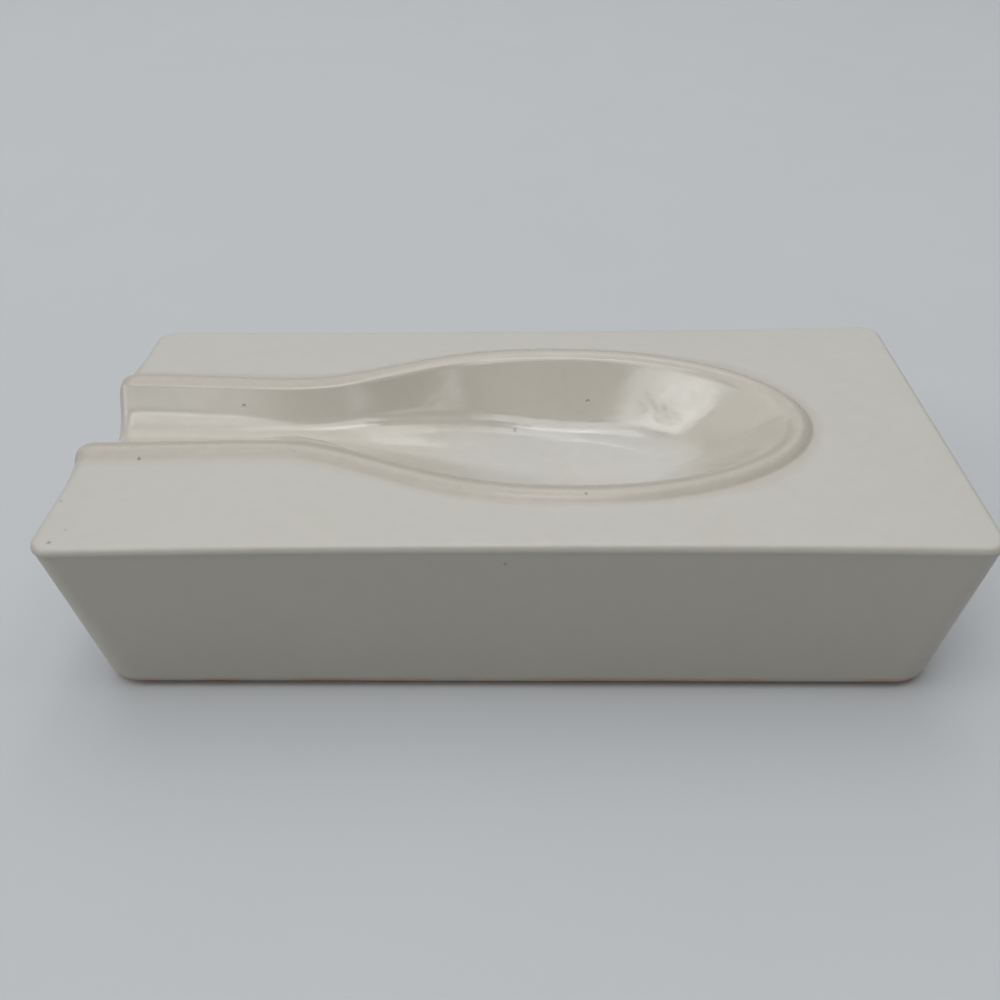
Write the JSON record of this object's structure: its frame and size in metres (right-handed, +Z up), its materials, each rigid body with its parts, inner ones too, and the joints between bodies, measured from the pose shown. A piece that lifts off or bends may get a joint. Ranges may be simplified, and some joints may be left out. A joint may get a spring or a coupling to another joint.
{
  "type": "spoon rest",
  "caption": "Glazed ceramic block with a spoon-shaped recess, raised rim and open handle channel that holds a cooking spoon beside the stove.",
  "frame": {"origin": "table plane under the middle of the whole length and width", "axes": "+Z up; +X from the open mouth of the handle channel towards the bowl's tip; +Y across the block"},
  "size_m": [0.2122, 0.1036, 0.0481],
  "materials": {
    "fired_clay": "dry fired terracotta, fine grained",
    "gloss_glaze": "cream glaze, wiped glossy, pooled in the bowl",
    "satin_glaze": "cream glaze, satin, thin at the edges"
  },
  "bodies": {
    "root": {"clay_body": "fired_clay", "recess_glaze": "gloss_glaze", "outer_glaze": "satin_glaze"}
  },
  "joints": []
}
